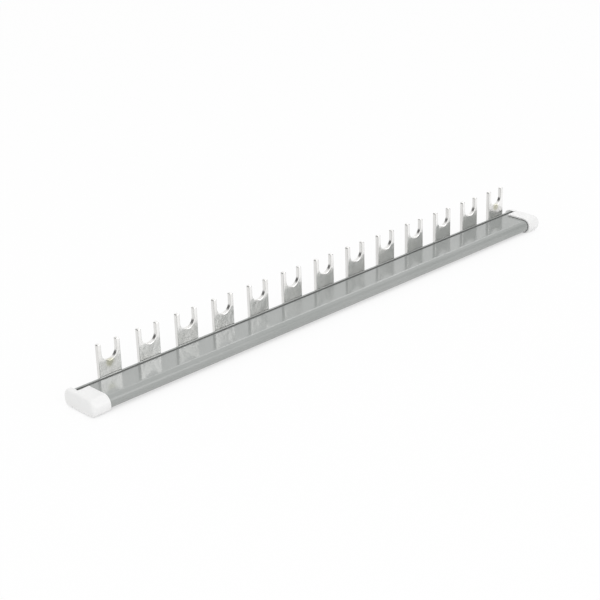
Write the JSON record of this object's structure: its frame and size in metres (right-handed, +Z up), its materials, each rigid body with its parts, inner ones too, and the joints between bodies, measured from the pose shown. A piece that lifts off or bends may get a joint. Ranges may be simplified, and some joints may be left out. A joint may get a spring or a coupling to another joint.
{
  "type": "comb busbar",
  "caption": "Straight comb busbar: a tinned copper strip with U-shaped screw forks standing along one edge, in a flat grey insulating profile with a rounded front and white end caps.",
  "frame": {"origin": "middle of the footprint of the bar, on the surface it lies on", "axes": "+X along the bar, +Y towards the forks, +Z up along the forks"},
  "size_m": [0.2452, 0.0175, 0.0185],
  "materials": {
    "tinned_copper": "satin",
    "grey_plastic": "glossy",
    "white_plastic": "satin"
  },
  "bodies": {
    "root": {"busbar_comb": "tinned_copper", "profile_housing": "grey_plastic", "end_cap_left": "white_plastic", "end_cap_right": "white_plastic"}
  },
  "joints": []
}
